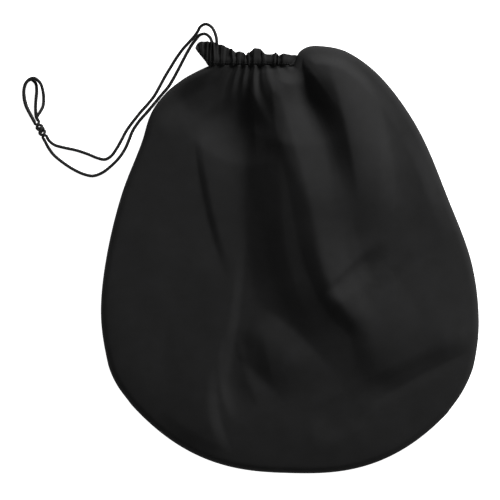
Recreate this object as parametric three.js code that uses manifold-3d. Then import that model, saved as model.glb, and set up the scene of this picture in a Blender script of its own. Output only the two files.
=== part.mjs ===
import * as THREE from 'three';
import { mergeVertices } from 'three/addons/utils/BufferGeometryUtils.js';
import Module from 'manifold-3d';

const wasm = await Module();
wasm.setup();

// A soft drawstring bag for a motorcycle helmet, empty, lying on its back with its mouth drawn shut.
// Two sewn panels make the sack, and a hem at the mouth is the casing that the cord runs in.
// Millimetres. +X is across the bag, +Y runs from its bottom to its mouth and +Z is up.
// The origin is under the middle of the bag, on the surface that it lies on.

// Driving sizes
const bagWidth = 450;
const bagLength = 507;
const loft = 40;
const clothWall = 2;
const seamLift = 3;
const frontRoll = 70;
const backRoll = 30;
const mouthSlit = 8;
const casingHeight = 20;
const casingWall = 1.2;
const channelRise = 6.5;
const puckerDepth = 0.9;
const cordDiameter = 4;
const cordClearance = 0.6;
const cordBend = 9;
const knotDiameter = 10;
const knotLength = 20;
const pieceGap = 0.3;

// Sizes that follow from them
const cordRadius = cordDiameter / 2;
const boreRadius = cordRadius + cordClearance;
const channelHalf = boreRadius + casingWall;
const backRun = channelHalf + puckerDepth + pieceGap;
const frontRun = backRun + 2 * channelHalf + mouthSlit;
const mouthMiddle = (frontRun + backRun) / 2;
const mouthRadius = (frontRun - backRun) / 2;
const seamHeight = seamLift + clothWall;

// Resolution of the faceted solids
const columns = 38;
const rows = 28;
const crowding = 0.45;
const steepestWall = 1.8;
const cordSides = 8;
const ringCordSteps = 52;

// Gathers below the mouth, as shares of the way down a section or across it
const gatherCount = 8;
const gatherUnevenness = 0.25;
const mouthReach = 0.13;
const pleatReach = 0.08;
const pleatSwell = 12;

function table(names, rowValues) {
  return rowValues.map((values) => Object.fromEntries(names.map((name, i) => [name, values[i]])));
}

// Sections of the laid bag from its mouth (down 0) to its bottom seam (down 1).
// Each runs from the left seam to the right seam and sags towards the bottom between them.
// climb says how late it rises to its right end, and square how flat it is in the middle.
// x and sag are shares of the bag's width and length, and puff is a share of the loft.
const sections = table(
  ['down', 'leftX', 'leftY', 'rightX', 'rightY', 'climb', 'sag', 'square', 'puff'],
  [
    [0.000, -0.214, 0.451, 0.006, 0.451, 10.0, 0.000, 6.0, 0.30],
    [0.030, -0.246, 0.438, 0.027, 0.486, 10.0, 0.021, 5.0, 0.46],
    [0.070, -0.280, 0.422, 0.062, 0.499, 5.0, 0.048, 4.5, 0.58],
    [0.130, -0.323, 0.393, 0.141, 0.485, 3.0, 0.082, 4.0, 0.66],
    [0.215, -0.366, 0.343, 0.239, 0.418, 2.0, 0.120, 3.3, 0.70],
    [0.330, -0.393, 0.270, 0.333, 0.300, 1.3, 0.148, 2.9, 0.70],
    [0.490, -0.447, 0.145, 0.413, 0.137, 1.0, 0.157, 2.6, 0.68],
    [0.645, -0.486, 0.000, 0.474, -0.006, 1.0, 0.162, 2.5, 0.64],
    [0.780, -0.500, -0.130, 0.500, -0.138, 1.0, 0.160, 2.5, 0.60],
    [0.900, -0.482, -0.245, 0.481, -0.245, 1.0, 0.163, 2.5, 0.56],
    [1.000, -0.432, -0.331, 0.433, -0.331, 1.0, 0.169, 2.5, 0.54],
  ],
);

// Folds of the front. A crest or trough runs from its start through its middle to its end.
// x and the two widths are shares of the bag's width, y of its length and height of the loft.
// leftWidth and rightWidth say how fast the cloth falls away on each side of the line, to the
// right and to the left of somebody who walks along it.
const folds = table(
  ['startX', 'startY', 'middleX', 'middleY', 'endX', 'endY', 'leftWidth', 'rightWidth', 'height'],
  [
    [-0.058, 0.430, 0.036, 0.190, 0.108, -0.075, 0.095, 0.060, 0.42],
    [-0.062, 0.420, -0.066, 0.165, -0.100, -0.085, 0.050, 0.060, -0.26],
    [-0.134, -0.025, -0.165, -0.190, -0.200, -0.365, 0.120, 0.040, 0.20],
    [-0.230, 0.280, -0.198, 0.140, -0.146, -0.020, 0.028, 0.022, -0.14],
    [-0.018, 0.285, 0.050, 0.050, 0.165, -0.185, 0.030, 0.024, -0.20],
    [-0.008, 0.115, 0.015, -0.045, 0.108, -0.175, 0.026, 0.024, 0.13],
    [0.078, 0.405, 0.118, 0.260, 0.152, 0.115, 0.034, 0.036, -0.28],
    [0.060, 0.462, 0.205, 0.335, 0.245, 0.120, 0.070, 0.110, 0.42],
    [-0.034, 0.380, 0.010, 0.336, 0.062, 0.352, 0.022, 0.022, -0.14],
    [-0.172, 0.410, -0.140, 0.355, -0.100, 0.325, 0.034, 0.034, -0.18],
    [0.112, -0.062, 0.170, -0.037, 0.228, 0.006, 0.022, 0.022, -0.15],
    [0.130, -0.115, 0.210, -0.120, 0.300, -0.090, 0.055, 0.055, 0.14],
    [0.452, -0.190, 0.335, -0.240, 0.210, -0.300, 0.026, 0.030, -0.14],
    [-0.148, -0.200, -0.162, -0.280, -0.135, -0.345, 0.030, 0.030, -0.11],
    [-0.080, -0.225, -0.002, -0.255, 0.080, -0.300, 0.035, 0.035, 0.11],
    [-0.190, 0.420, -0.265, 0.395, -0.330, 0.345, 0.024, 0.024, -0.12],
  ],
);

// The hem above its row of stitching, from the flared end at the left to the right end.
// along is a share of the mouth's width, low and high are shares of the casing's height.
const ruffles = table(
  ['along', 'low', 'high'],
  [
    [-0.170, 1.00, 1.16],
    [-0.095, 0.62, 1.38],
    [-0.040, 0.26, 1.42],
    [0.000, 0.00, 1.42],
    [0.100, 0.00, 1.35],
    [0.205, 0.00, 1.10],
    [0.300, 0.00, 0.97],
    [0.345, 0.00, 0.82],
    [0.405, 0.00, 0.80],
    [0.460, 0.00, 0.62],
    [0.520, 0.00, 0.80],
    [0.575, 0.00, 1.00],
    [0.650, 0.00, 0.95],
    [0.720, 0.00, 0.72],
    [0.770, 0.00, 0.68],
    [0.825, 0.00, 0.74],
    [0.872, 0.00, 0.62],
    [0.926, 0.00, 0.68],
    [1.000, 0.00, 0.62],
  ],
);

// Five levels of the hem's section, from its lips to its ruffled edge. Between those two, rise and
// half are shares of the channel's half thickness. pucker is how much of the gathers a level shows.
const hemSection = table(
  ['rise', 'half', 'pucker'],
  [
    [0.0, 0.00, 1.0],
    [-0.8, 0.72, 0.7],
    [0.0, 1.00, 0.3],
    [1.0, 0.72, 0.6],
    [0.0, 0.00, 1.0],
  ],
);
const lowerHem = 0.62;
const lowerFlare = 0.75;

// The free strands of the cord and the two loops beyond its knot, in millimetres.
const cordRoutes = {
  drawcord_strand_a: [
    [-86.9, 252.5, 20.6], [-87.1, 260.0, 20.2], [-89.5, 268.7, 17.5], [-93.9, 275.4, 14.0],
    [-100.2, 278.4, 11.2], [-106.2, 275.6, 9.2], [-109.6, 270.0, 7.8], [-113.6, 264.4, 6.8],
    [-120.6, 256.6, 5.8], [-127.4, 249.2, 4.6], [-135.6, 238.0, 2.6], [-142.1, 227.5, 2.0],
    [-148.4, 217.1, 2.0], [-155.2, 204.5, 2.0], [-161.6, 193.4, 2.0], [-169.8, 183.2, 2.0],
    [-177.4, 174.8, 2.0], [-186.8, 163.0, 2.0], [-194.6, 152.2, 2.0], [-200.2, 141.6, 2.0],
    [-206.0, 131.3, 2.0], [-212.5, 122.4, 2.0], [-220.2, 118.0, 2.0], [-229.0, 119.6, 2.0],
    [-240.9, 124.4, 2.0], [-254.2, 128.8, 2.0], [-270.6, 132.4, 2.0], [-280.6, 135.4, 2.6],
    [-286.75, 140.35, 4.2], [-289.62, 145.61, 5.0],
  ],
  drawcord_strand_b: [
    [-92.1, 249.0, 5.0], [-92.4, 256.0, 4.8], [-95.2, 263.2, 4.2], [-101.0, 267.4, 3.0],
    [-107.4, 266.2, 2.2], [-112.2, 260.8, 2.0], [-117.4, 253.6, 2.0], [-122.6, 244.6, 2.0],
    [-127.6, 235.2, 2.0], [-133.2, 224.4, 2.0], [-138.8, 214.0, 2.0], [-144.6, 204.6, 2.0],
    [-152.2, 195.8, 2.0], [-160.4, 185.8, 2.0], [-169.8, 174.6, 2.0], [-179.6, 163.4, 2.0],
    [-187.2, 151.9, 2.0], [-191.4, 141.6, 2.0], [-195.8, 131.3, 2.0], [-202.6, 120.9, 2.0],
    [-212.5, 110.6, 2.0], [-223.2, 102.4, 2.0], [-234.4, 98.4, 2.0], [-246.0, 100.6, 2.0],
    [-259.0, 106.8, 2.0], [-271.8, 115.4, 2.0], [-281.8, 124.0, 2.0], [-287.5, 131.8, 2.8],
    [-290.79, 138.15, 4.2], [-293.66, 143.41, 5.0],
  ],
  drawcord_loop_a: [
    [-303.58, 161.59, 2.8], [-305.97, 165.98, 2.3], [-310.0, 173.6, 2.0], [-313.8, 182.0, 2.0],
    [-316.0, 191.0, 2.0], [-316.8, 200.0, 2.0], [-314.6, 209.0, 2.0], [-308.6, 213.2, 2.0],
    [-302.8, 208.8, 2.0], [-301.6, 200.0, 2.0], [-302.4, 190.0, 2.0], [-302.9, 179.0, 2.0],
    [-301.93, 168.18, 2.3], [-299.54, 163.79, 2.8],
  ],
  drawcord_loop_b: [
    [-303.58, 161.59, 7.2], [-305.97, 165.98, 6.8], [-310.2, 173.6, 6.5], [-314.2, 182.0, 6.4],
    [-316.4, 192.0, 6.4], [-316.2, 202.0, 6.4], [-312.2, 211.4, 6.4], [-304.6, 214.6, 6.4],
    [-297.6, 209.4, 5.2], [-294.2, 200.0, 2.6], [-293.2, 190.0, 2.0], [-294.0, 181.0, 3.2],
    [-297.4, 174.0, 5.8], [-300.9, 168.0, 7.1], [-299.54, 163.79, 7.2],
  ],
};
const knotCentre = new THREE.Vector3(-296.6, 153.6, knotDiameter / 2);
const knotHeading = THREE.MathUtils.degToRad(118.6);

// Smooth value of one column of a table at a place along its first column.
function along(rowsOf, placeName, name, place) {
  const last = rowsOf.length - 1;
  let i = 0;
  while (i < last - 1 && place > rowsOf[i + 1][placeName]) i += 1;
  const slope = (k) => {
    const before = rowsOf[Math.max(k - 1, 0)];
    const after = rowsOf[Math.min(k + 1, last)];
    return (after[name] - before[name]) / (after[placeName] - before[placeName]);
  };
  const width = rowsOf[i + 1][placeName] - rowsOf[i][placeName];
  const t = THREE.MathUtils.clamp((place - rowsOf[i][placeName]) / width, 0, 1);
  const start = (2 * t ** 3 - 3 * t ** 2 + 1) * rowsOf[i][name];
  const end = (3 * t ** 2 - 2 * t ** 3) * rowsOf[i + 1][name];
  const leave = (t ** 3 - 2 * t ** 2 + t) * width * slope(i);
  const arrive = (t ** 3 - t ** 2) * width * slope(i + 1);
  return start + end + leave + arrive;
}

function crowdedAtEnds(count) {
  return Array.from({ length: count + 1 }, (_, i) => {
    const t = i / count;
    return t - (crowding * Math.sin(2 * Math.PI * t)) / (2 * Math.PI);
  });
}

// Place on the laid bag, seen from above, across a section from seam to seam.
function planPoint(across, down) {
  const at = (name) => along(sections, 'down', name, down);
  const bow = 1 - Math.abs(2 * across - 1) ** at('square');
  const x = THREE.MathUtils.lerp(at('leftX'), at('rightX'), across);
  const y = THREE.MathUtils.lerp(at('leftY'), at('rightY'), across ** at('climb')) - at('sag') * bow;
  return new THREE.Vector2(x * bagWidth, y * bagLength);
}

function outlinePoints(count) {
  const steps = Array.from({ length: count + 1 }, (_, i) => i / count);
  const left = steps.map((t) => planPoint(0, t));
  const bottom = steps.map((t) => planPoint(t, 1));
  const right = steps.map((t) => planPoint(1, 1 - t));
  return [...left, ...bottom, ...right];
}

const outline = outlinePoints(80);
const segment = new THREE.Line3();
const nearest = new THREE.Vector3();

function distanceToSeam(point) {
  const place = new THREE.Vector3(point.x, point.y, 0);
  let best = Infinity;
  for (let i = 0; i + 1 < outline.length; i += 1) {
    segment.start.set(outline[i].x, outline[i].y, 0);
    segment.end.set(outline[i + 1].x, outline[i + 1].y, 0);
    segment.closestPointToPoint(place, true, nearest);
    best = Math.min(best, nearest.distanceTo(place));
  }
  return best;
}

// Quarter-round rise from 0 at an edge to 1 at the given reach from it.
function rolled(distance, reach) {
  const left = 1 - Math.min(distance / reach, 1);
  return Math.sqrt(1 - left ** 2);
}

// Points along a fold's line, which bends evenly through its middle.
const foldLines = folds.map((fold) => {
  const start = new THREE.Vector2(fold.startX * bagWidth, fold.startY * bagLength);
  const middle = new THREE.Vector2(fold.middleX * bagWidth, fold.middleY * bagLength);
  const end = new THREE.Vector2(fold.endX * bagWidth, fold.endY * bagLength);
  const pull = middle.clone().multiplyScalar(2).addScaledVector(start, -0.5).addScaledVector(end, -0.5);
  return new THREE.QuadraticBezierCurve(start, pull, end).getPoints(32);
});

function foldHeight(point) {
  let total = 0;
  folds.forEach((fold, index) => {
    const line = foldLines[index];
    let best = 0;
    line.forEach((place, i) => {
      if (place.distanceToSquared(point) < line[best].distanceToSquared(point)) best = i;
    });
    const ahead = line[Math.min(best + 1, line.length - 1)];
    const behind = line[Math.max(best - 1, 0)];
    const heading = ahead.clone().sub(behind).normalize();
    const away = point.clone().sub(line[best]);
    const side = heading.cross(away) / Math.max(away.length(), 0.001);
    const width = THREE.MathUtils.lerp(fold.leftWidth, fold.rightWidth, 0.5 + side / 2) * bagWidth;
    const t = best / (line.length - 1);
    const swell = Math.sin(Math.PI * (0.08 + 0.84 * t)) ** 0.6;
    total += fold.height * loft * swell * Math.exp(-((away.length() / width) ** 2));
  });
  return total;
}

function gather(across) {
  const fade = Math.sin(Math.PI * across) ** 0.5;
  const phase = gatherCount * across + gatherUnevenness * Math.sin(6 * Math.PI * across);
  return puckerDepth * fade * Math.sin(2 * Math.PI * phase);
}

function mouthShare(down) {
  return 1 - THREE.MathUtils.smoothstep(down, 0, mouthReach);
}

function seamAt(down) {
  return THREE.MathUtils.lerp(seamHeight, mouthMiddle, mouthShare(down));
}

function onSeam(across, down) {
  return across === 0 || across === 1 || down === 1;
}

function frontUnderside(across, down) {
  const point = planPoint(across, down);
  const inward = onSeam(across, down) ? 0 : distanceToSeam(point);
  const mouth = mouthShare(down);
  const lipRise = frontRun - clothWall / 2 - mouthMiddle - pieceGap / 2;
  const puff = along(sections, 'down', 'puff', down) * loft;
  const body = rolled(inward, frontRoll) * (puff + foldHeight(point));
  const lip = rolled(inward, mouthRadius) * lipRise;
  const pleatFade = Math.exp(-down / pleatReach) * (1 + pleatSwell * down);
  const pleat = inward === 0 ? 0 : gather(across) * pleatFade;
  const height = seamAt(down) + pieceGap / 2 + mouth * lip + (1 - mouth) * body + pleat;
  return new THREE.Vector3(point.x, point.y, height);
}

function backTop(across, down) {
  const point = planPoint(across, down);
  const inward = onSeam(across, down) ? 0 : distanceToSeam(point);
  const mouth = mouthShare(down);
  const lipDrop = mouthMiddle - pieceGap / 2 - backRun - clothWall / 2;
  const bodyDrop = seamLift - pieceGap / 2;
  const drop = mouth * rolled(inward, mouthRadius) * lipDrop
    + (1 - mouth) * rolled(inward, backRoll) * bodyDrop;
  return new THREE.Vector3(point.x, point.y, seamAt(down) - pieceGap / 2 - drop);
}

function grid(acrosses, downs, place) {
  return downs.map((down) => acrosses.map((across) => place(across, down)));
}

// Height that gives a sloping cloth its wall measured square to the cloth, within a limit.
function wallHeight(points, j, i) {
  const rowAhead = points[Math.min(j + 1, points.length - 1)][i];
  const rowBehind = points[Math.max(j - 1, 0)][i];
  const columnAhead = points[j][Math.min(i + 1, points[j].length - 1)];
  const columnBehind = points[j][Math.max(i - 1, 0)];
  const normal = columnAhead.clone().sub(columnBehind).cross(rowAhead.clone().sub(rowBehind)).normalize();
  return clothWall * Math.min(1 / Math.abs(normal.z), steepestWall);
}

function geometryFrom(points, triangles) {
  const geometry = new THREE.BufferGeometry();
  const values = points.flatMap((point) => [point.x, point.y, point.z]);
  geometry.setAttribute('position', new THREE.Float32BufferAttribute(values, 3));
  geometry.setIndex(triangles);
  return geometry;
}

// A cloth panel: an upper and a lower skin over the same places, closed along its four edges.
function panelGeometry(upper, lower) {
  const down = upper.length;
  const across = upper[0].length;
  const points = [...upper.flat(), ...lower.flat()];
  const top = (j, i) => j * across + i;
  const bottom = (j, i) => down * across + j * across + i;
  const triangles = [];
  const quad = (a, b, c, d) => triangles.push(a, b, c, a, c, d);
  for (let j = 0; j + 1 < down; j += 1) {
    for (let i = 0; i + 1 < across; i += 1) {
      quad(top(j, i), top(j + 1, i), top(j + 1, i + 1), top(j, i + 1));
      quad(bottom(j, i), bottom(j, i + 1), bottom(j + 1, i + 1), bottom(j + 1, i));
    }
    const last = across - 1;
    quad(top(j, 0), bottom(j, 0), bottom(j + 1, 0), top(j + 1, 0));
    quad(top(j, last), top(j + 1, last), bottom(j + 1, last), bottom(j, last));
  }
  for (let i = 0; i + 1 < across; i += 1) {
    const last = down - 1;
    quad(top(0, i), top(0, i + 1), bottom(0, i + 1), bottom(0, i));
    quad(top(last, i), bottom(last, i), bottom(last, i + 1), top(last, i + 1));
  }
  return geometryFrom(points, triangles);
}

// A solid through rings of equally many points, closed by a fan at each end.
function loftGeometry(rings) {
  const size = rings[0].length;
  const points = rings.flat();
  const triangles = [];
  for (let k = 0; k + 1 < rings.length; k += 1) {
    for (let i = 0; i < size; i += 1) {
      const a = k * size + i;
      const b = k * size + ((i + 1) % size);
      triangles.push(a, b + size, b, a, a + size, b + size);
    }
  }
  const end = (rings.length - 1) * size;
  for (let i = 1; i + 1 < size; i += 1) {
    triangles.push(0, i, i + 1);
    triangles.push(end, end + i + 1, end + i);
  }
  return geometryFrom(points, triangles);
}

function tubeGeometry(points, radius, steps) {
  const section = new THREE.Shape();
  for (let i = 0; i < cordSides; i += 1) {
    const angle = (2 * Math.PI * (i + 0.5)) / cordSides;
    const corner = [radius * Math.cos(angle), radius * Math.sin(angle)];
    if (i === 0) section.moveTo(...corner);
    else section.lineTo(...corner);
  }
  section.closePath();
  const extrudePath = new THREE.CatmullRomCurve3(points, false, 'centripetal');
  return new THREE.ExtrudeGeometry(section, { steps, extrudePath, bevelEnabled: false, curveSegments: 1 });
}

function solidOf(geometry) {
  const bare = geometry.clone();
  bare.deleteAttribute('normal');
  bare.deleteAttribute('uv');
  const merged = mergeVertices(bare, 1e-4);
  return new wasm.Manifold(new wasm.Mesh({
    numProp: 3,
    vertProperties: new Float32Array(merged.attributes.position.array),
    triVerts: new Uint32Array(merged.index.array),
  }));
}

function geometryOf(solid) {
  const mesh = solid.getMesh();
  const geometry = new THREE.BufferGeometry();
  geometry.setAttribute('position', new THREE.BufferAttribute(new Float32Array(mesh.vertProperties), 3));
  geometry.setIndex(new THREE.BufferAttribute(new Uint32Array(mesh.triVerts), 1));
  return geometry;
}

const acrosses = crowdedAtEnds(columns);
const frontDowns = crowdedAtEnds(rows);
const backRows = [0, 1, 2, 3, 4, 5, 6, 7, 10, 14, 18, 22, 25, 27, 28];
const backDowns = backRows.map((row) => frontDowns[row]);
const mouthLeft = planPoint(0, 0);
const mouthRight = planPoint(1, 0);
// The casing stops short of the panels' right seam by its own swell, which turns there.
const casingRight = mouthRight.x - channelHalf;
const casingLength = casingRight - mouthLeft.x;

// Where the casing runs, at the level of the stitching: front 1 is the upper run, -1 the lower.
function casingRun(share, front) {
  const x = mouthLeft.x + share * casingLength;
  const past = (x - (casingRight - mouthRadius)) / mouthRadius;
  const turn = Math.asin(THREE.MathUtils.clamp(past, 0, 1));
  const out = new THREE.Vector3(Math.sin(turn), 0, front * Math.cos(turn));
  const place = new THREE.Vector3(Math.min(x, casingRight - mouthRadius), mouthLeft.y, mouthMiddle);
  return { place: place.addScaledVector(out, mouthRadius), out };
}

// One ring of the hem: its lips at the stitching, the swell of the channel and its ruffled edge.
function casingRing(share, front) {
  const { place, out } = casingRun(share, front);
  const low = Math.max(along(ruffles, 'along', 'low', share), 0) * casingHeight + pieceGap;
  const crest = along(ruffles, 'along', 'high', share) * casingHeight;
  const high = front > 0 ? crest : Math.max(lowerHem * casingHeight, lowerFlare * crest);
  const pucker = gather(THREE.MathUtils.clamp(share, 0, 1)) * front;
  const flared = THREE.MathUtils.smoothstep(-share, -0.12, 0.02);
  const last = hemSection.length - 1;
  const levels = hemSection.map((level, i) => {
    const plain = i === 0 || i === last
      ? THREE.MathUtils.lerp(low, high, i / last)
      : Math.max(low, channelRise + level.rise * channelHalf);
    const rise = THREE.MathUtils.lerp(plain, THREE.MathUtils.lerp(low, high, i / last), flared);
    const half = i === 0 || i === last ? clothWall / 2 : level.half * channelHalf;
    return { rise, half, pucker: pucker * level.pucker };
  });
  const point = (level, side) => place.clone()
    .add(new THREE.Vector3(0, level.rise, 0))
    .addScaledVector(out, side * level.half + level.pucker);
  const outer = levels.map((level) => point(level, 1));
  const inner = levels.map((level) => point(level, -1)).reverse();
  return [...outer, ...inner];
}

function casingOuter() {
  const flare = ruffles.filter((row) => row.along < 0).map((row) => row.along);
  const backEnd = [0, -0.04];
  const rings = [
    ...flare.map((share) => casingRing(share, 1)),
    ...acrosses.map((share) => casingRing(share, 1)),
    ...acrosses.slice(1, -1).reverse().map((share) => casingRing(share, -1)),
    ...backEnd.map((share) => casingRing(share, -1)),
  ];
  return loftGeometry(rings);
}

// The cord's way through the casing, from its front exit round the right end to its back exit.
function channelPoints(frontEnd, backEnd) {
  const inChannel = (share, front) => {
    const { place } = casingRun(share, front);
    return place.add(new THREE.Vector3(0, channelRise, 0));
  };
  const turnedOut = (exit, front) => {
    const start = inChannel(0.5, front);
    const corner = new THREE.Vector3(exit.x, start.y, start.z);
    const side = corner.clone().add(new THREE.Vector3(cordBend, 0, 0));
    const midway = cordBend * (1 - Math.SQRT1_2);
    const bend = corner.clone().add(new THREE.Vector3(midway, midway, 0));
    const up = corner.clone().add(new THREE.Vector3(0, cordBend, 0));
    return [exit, up, bend, side];
  };
  const shares = [0.26, 0.38, 0.5, 0.62, 0.74, 0.84, 0.92, 0.97];
  return [
    ...turnedOut(frontEnd, 1),
    ...shares.map((share) => inChannel(share, 1)),
    inChannel(1, 1),
    ...shares.slice().reverse().map((share) => inChannel(share, -1)),
    ...turnedOut(backEnd, -1).reverse(),
  ];
}

const strandStarts = ['drawcord_strand_a', 'drawcord_strand_b']
  .map((name) => new THREE.Vector3(...cordRoutes[name][0]));
const cordEnds = strandStarts.map((start) => start.clone().add(new THREE.Vector3(0, -pieceGap, 0)));
const boreEnds = strandStarts.map((start) => start.clone().add(new THREE.Vector3(0, casingHeight, 0)));

function casingGeometry() {
  const bore = tubeGeometry(channelPoints(...boreEnds), boreRadius, ringCordSteps);
  return geometryOf(solidOf(casingOuter()).subtract(solidOf(bore)));
}

function knotGeometry() {
  const half = knotLength / 2;
  const radius = knotDiameter / 2;
  const profile = [
    [0, -1], [0.84, -1], [1, -0.7], [1, -0.3], [0.86, 0], [1, 0.3], [1, 0.7], [0.84, 1], [0, 1],
  ].map(([out, rise]) => new THREE.Vector2(out * radius, rise * half));
  return new THREE.LatheGeometry(profile, 12);
}

const cloth = () => new THREE.MeshStandardMaterial({ color: 0x1f1f1f, roughness: 0.92, metalness: 0 });
const braid = () => new THREE.MeshStandardMaterial({ color: 0x151515, roughness: 0.8, metalness: 0 });

function named(name, geometry, material) {
  const mesh = new THREE.Mesh(geometry, material);
  mesh.name = name;
  return mesh;
}

const frontUnder = grid(acrosses, frontDowns, frontUnderside);
const frontOver = frontUnder.map((line, j) => line.map((point, i) => {
  const lift = wallHeight(frontUnder, j, i);
  return point.clone().add(new THREE.Vector3(0, 0, lift));
}));
const backOver = grid(acrosses, backDowns, backTop);
const backUnder = backOver.map((line) => line.map((point) => {
  const lowered = point.clone();
  lowered.z -= clothWall;
  return lowered;
}));

const bag = new THREE.Group();
bag.add(named('front_panel', panelGeometry(frontOver, frontUnder), cloth()));
bag.add(named('back_panel', panelGeometry(backOver, backUnder), cloth()));
bag.add(named('casing', casingGeometry(), cloth()));
bag.add(named('drawcord_in_casing', tubeGeometry(channelPoints(...cordEnds), cordRadius, ringCordSteps), braid()));

for (const [name, route] of Object.entries(cordRoutes)) {
  const points = route.map((place) => new THREE.Vector3(...place));
  const length = new THREE.CatmullRomCurve3(points, false, 'centripetal').getLength();
  const steps = Math.round(length / (2.5 * cordDiameter));
  bag.add(named(name, tubeGeometry(points, cordRadius, steps), braid()));
}

const knot = named('drawcord_knot', knotGeometry(), braid());
knot.position.copy(knotCentre);
knot.rotation.z = knotHeading - Math.PI / 2;
bag.add(knot);

export default bag;
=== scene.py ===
import math

import bpy
import numpy as np
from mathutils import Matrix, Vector, noise


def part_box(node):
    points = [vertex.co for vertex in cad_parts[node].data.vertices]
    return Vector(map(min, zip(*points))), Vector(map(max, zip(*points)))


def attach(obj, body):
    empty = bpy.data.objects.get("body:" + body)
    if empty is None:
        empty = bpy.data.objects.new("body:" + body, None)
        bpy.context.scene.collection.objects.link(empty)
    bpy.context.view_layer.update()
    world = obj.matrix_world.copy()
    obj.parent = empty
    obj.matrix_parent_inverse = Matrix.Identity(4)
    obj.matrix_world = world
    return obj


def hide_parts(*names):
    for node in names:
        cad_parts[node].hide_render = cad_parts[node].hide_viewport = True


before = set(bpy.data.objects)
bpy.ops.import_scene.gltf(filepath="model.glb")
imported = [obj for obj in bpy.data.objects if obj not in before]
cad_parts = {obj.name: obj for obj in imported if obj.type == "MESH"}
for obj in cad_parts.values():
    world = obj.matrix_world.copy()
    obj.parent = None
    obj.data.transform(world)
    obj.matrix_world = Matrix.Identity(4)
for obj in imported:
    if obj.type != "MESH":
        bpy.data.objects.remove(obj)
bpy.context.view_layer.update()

# The drawstring helmet bag lies on its back, +Y towards its mouth, and is seen from straight above.
# Lengths are in metres. Shares are of the bag's width across, of its length along, of its loft up.

# Sizes read from the frame
panel_low, panel_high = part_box("front_panel")
BAG_WIDTH = panel_high.x - panel_low.x
BAG_LENGTH = 0.507

# Sizes that repeat the construction's
LOFT = 0.040
CLOTH = 0.0012
SEAM_LIFT = 0.003
CAD_WALL = 0.002
BACK_ROLL = 0.030
CASING_HEIGHT = 0.020
CHANNEL_RISE = 0.0065
CHANNEL_HALF = 0.0038
LOWER_RUN = 0.0050
MOUTH_SLIT = 0.0080
UPPER_RUN = LOWER_RUN + 2 * CHANNEL_HALF + MOUTH_SLIT
MOUTH_MIDDLE = (UPPER_RUN + LOWER_RUN) / 2
MOUTH_RADIUS = (UPPER_RUN - LOWER_RUN) / 2
MOUTH_REACH = 0.13
EDGE_RISE = 0.14 * LOFT
EDGE_REACH = 0.009
SWELL_RISE = 0.22 * LOFT
SWELL_REACH = 0.130
FOLD_FADE = 0.025
FADE_IN = 0.36
CREST_ROUNDING = 0.0025
FOOT_ROUNDING = 0.12
CORD_DIAMETER = 0.004
CORD_RADIUS = CORD_DIAMETER / 2

# Small forms of the cloth that the construction leaves out
EDGE_CLEARANCE = 0.0010
EDGE_CLEARANCE_REACH = 0.004
SOFT_WAVES = {"height": 0.0012, "size": 0.075, "seed": 3.1, "stretch": 1.6}
FINE_WAVES = {"height": 0.0004, "size": 0.026, "seed": 8.7, "stretch": 1.4}
BACK_WAVES = {"height": 0.00036, "size": 0.05, "seed": 5.5, "stretch": 1.5}
BACK_PLEAT_SHARE = 0.5
PLEAT_DRIFT = 0.02
PLEAT_DRIFT_RATE = 9
PLEAT_DRIFT_OFFSET = 5
PLEAT_FADE = 1.5
LIP_SOFTENING = 0.008
LEAST_PULL = 0.04

# How finely the cloth is divided, across and along, and how much closer at its edges
FRONT_GRID = (230, 200)
BACK_GRID = (110, 80)
CROWDING_ACROSS = 0.45
CROWDING_ALONG = 0.5
OUTLINE_STEPS = 100
FOLD_STEPS = 32
CURVE_STEPS = 24

# The hem's gathers
HEM_START = -0.170
LOWER_HEM_START = -0.04
UPPER_STATIONS = 320
LOWER_STATIONS = 240
HEM_TUCK = 0.0008
HEM_FOLDS = 12
FLARE_FOLDS = 17
LEFT_FADE = (-0.18, -0.14)
RIGHT_FADE = (0.96, 1.0)
SPACING_WAVES = ((0.35, 14), (0.16, 37))
MEAN_GATHER = 0.78
GATHER_SWING = 0.22
GATHER_SWING_RATE = 23
GATHER_SWING_OFFSET = 1
SECOND_RIPPLE = 0.30
SECOND_RIPPLE_FOLDS = 2.5
SECOND_RIPPLE_OFFSET = 1.3
PUCKER_DEPTH = 0.0024
PUCKER_CREST = 0.0007
HEM_SWAY = 0.0012
HEM_SWAY_RATE = 31
HEM_END_LEAN = 0.0046
HEM_END_SHARE = 0.12
CHANNEL_LEVEL = 0.62
LOWER_CREST = 0.62
LOWER_CREST_SHARE = 0.75
FLARE_THINNING = 0.35
FLARE_BEGINS = 0.12
FLARE_WHOLE = -0.02

# Each stitch's thread, and how far apart they start
STITCH_PITCH = 0.0030
STITCH_RADIUS = 0.00028
STITCH_SIDES = 6
STITCH_ARCH = (0.2, 0.9, 1.0, 0.9, 0.2)
STITCH_SPAN = (0.1, 0.8)
STITCH_LEVEL = 2

# The braid of the cord, and its knot
BRAID_CARRIERS = 6
BRAID_PITCH = 0.0065
BRAID_MEAN = 0.955
BRAID_RELIEF = 0.055
CORD_SIDES = 28
CORD_STEP = 0.0009
CORD_END_NARROWING = 0.25
CORD_END_REACH = 0.6
KNOT_HEADING = math.radians(118.6)
KNOT_HALF = 0.0112
KNOT_WINDING = 0.0034
KNOT_TURNS = 1.6
KNOT_NARROWING = 0.45
KNOT_BLUNTNESS = 0.35
KNOT_END_TRIM = 0.04
KNOT_PASS_START = 0.35
KNOT_PASS_SPAN = 0.75
KNOT_PASS_ANGLE = -0.6
KNOT_PASS_TURNS = 1.15
KNOT_CORD_SHARE = 0.88
KNOT_CORD_SIDES = 24
KNOT_STEP = 0.0007
KNOT_FLOOR = 0.0001

# Tones of the materials, and how much of the cloth's relief its wales make
BAG_DARK = 0.0088
BAG_LIGHT = 0.0104
# The hem is the same cloth as the bag; its tones are darker as painted shade of its deep gathers.
HEM_PAINTED_SHADE_DARK = 0.0068
HEM_PAINTED_SHADE_LIGHT = 0.0084
CLOTH_BLUENESS = 1.02
WALES_SHARE = 0.35
CORD_TONE = 0.0052
YARN_DARK = 0.6
YARN_LIGHT = 1.5

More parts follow.
